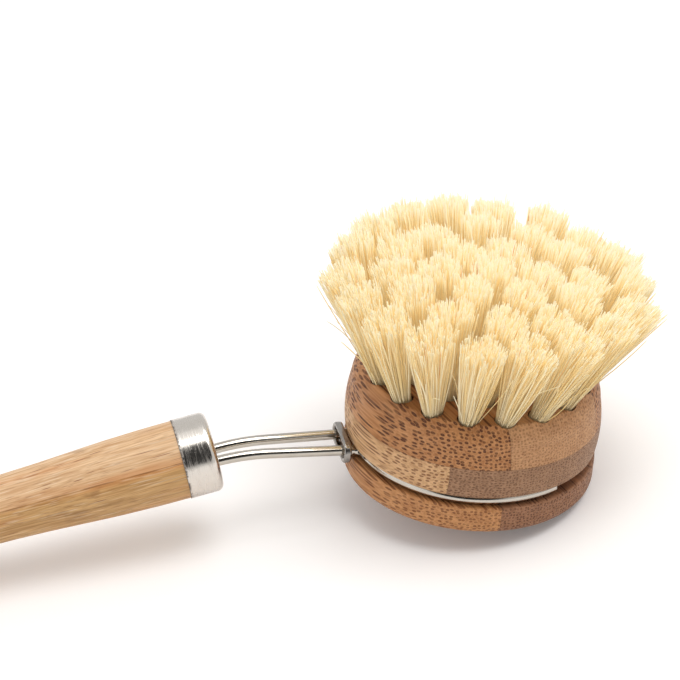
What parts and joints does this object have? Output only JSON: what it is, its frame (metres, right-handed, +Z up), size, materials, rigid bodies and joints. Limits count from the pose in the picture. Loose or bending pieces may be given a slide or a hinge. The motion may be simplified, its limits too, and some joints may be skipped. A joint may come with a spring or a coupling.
{
  "type": "dish brush",
  "caption": "Dish brush with a round bamboo head of fanned plant-fibre tufts, held by a spring-wire bail with a sliding clip on a turned bamboo handle with a steel ferrule",
  "frame": {"origin": "middle of the whole brush along its length and width, on the table it rests on, in m", "axes": "+X from the butt of the handle to the head, +Y to the left of that, +Z up from the table"},
  "size_m": [0.2462, 0.0644, 0.051],
  "materials": {
    "head_bamboo": "sanded, bare",
    "handle_bamboo": "sanded, oiled",
    "plant_fibre": "cut fibre",
    "wire_steel": "drawn",
    "polished_steel": "polished",
    "anchor_steel": "flat wire"
  },
  "bodies": {
    "handle": {"handle_upper_ply": "handle_bamboo", "handle_lower_ply": "handle_bamboo", "ferrule": "polished_steel", "bail_tang": "wire_steel"},
    "clip": {"locking_clip": "polished_steel"},
    "left_leg": {"left_bail_leg": "wire_steel"},
    "right_leg": {"right_bail_leg": "wire_steel"},
    "head": {"base_ply_near_strip": "head_bamboo", "base_ply_middle_strip": "head_bamboo", "base_ply_far_strip": "head_bamboo", "middle_ply_near_strip": "head_bamboo", "middle_ply_middle_strip": "head_bamboo", "middle_ply_far_strip": "head_bamboo", "top_ply_near_strip": "head_bamboo", "top_ply_middle_strip": "head_bamboo", "top_ply_far_strip": "head_bamboo", "centre_tuft": "plant_fibre", "inner_tuft_01": "plant_fibre", "inner_tuft_02": "plant_fibre", "inner_tuft_03": "plant_fibre", "inner_tuft_04": "plant_fibre", "inner_tuft_05": "plant_fibre", "inner_tuft_06": "plant_fibre", "middle_tuft_01": "plant_fibre", "middle_tuft_02": "plant_fibre", "middle_tuft_03": "plant_fibre", "middle_tuft_04": "plant_fibre", "middle_tuft_05": "plant_fibre", "middle_tuft_06": "plant_fibre", "middle_tuft_07": "plant_fibre", "middle_tuft_08": "plant_fibre", "middle_tuft_09": "plant_fibre", "middle_tuft_10": "plant_fibre", "middle_tuft_11": "plant_fibre", "middle_tuft_12": "plant_fibre", "outer_tuft_01": "plant_fibre", "outer_tuft_02": "plant_fibre", "outer_tuft_03": "plant_fibre", "outer_tuft_04": "plant_fibre", "outer_tuft_05": "plant_fibre", "outer_tuft_06": "plant_fibre", "outer_tuft_07": "plant_fibre", "outer_tuft_08": "plant_fibre", "outer_tuft_09": "plant_fibre", "outer_tuft_10": "plant_fibre", "outer_tuft_11": "plant_fibre", "outer_tuft_12": "plant_fibre", "outer_tuft_13": "plant_fibre", "outer_tuft_14": "plant_fibre", "outer_tuft_15": "plant_fibre", "outer_tuft_16": "plant_fibre", "outer_tuft_17": "plant_fibre", "outer_tuft_18": "plant_fibre", "tuft_anchors": "anchor_steel"}
  },
  "joints": [
    {"name": "clip_slide", "type": "slide", "parent": "handle", "child": "clip", "axis": [-0.9854, 0, 0.1704], "range_m": [0, 0.014]},
    {"name": "left_leg_spread", "type": "hinge", "parent": "handle", "child": "left_leg", "pos_m": [0.03447, 0.002, 0.01797], "axis": [0.1704, 0, 0.9854], "range_deg": [0, 3]},
    {"name": "right_leg_spread", "type": "hinge", "parent": "handle", "child": "right_leg", "pos_m": [0.03447, -0.002, 0.01797], "axis": [0.1704, 0, 0.9854], "range_deg": [-3, 0]},
    {"name": "head_turn", "type": "hinge", "parent": "handle", "child": "head", "pos_m": [0.08492, 0, 0.00382], "axis": [0.1704, 0, 0.9854], "continuous": true}
  ],
  "couplings": [
    {"joint": "left_leg_spread", "follows": "clip_slide", "rad_per_m": 3.73},
    {"joint": "right_leg_spread", "follows": "clip_slide", "rad_per_m": -3.73}
  ]
}
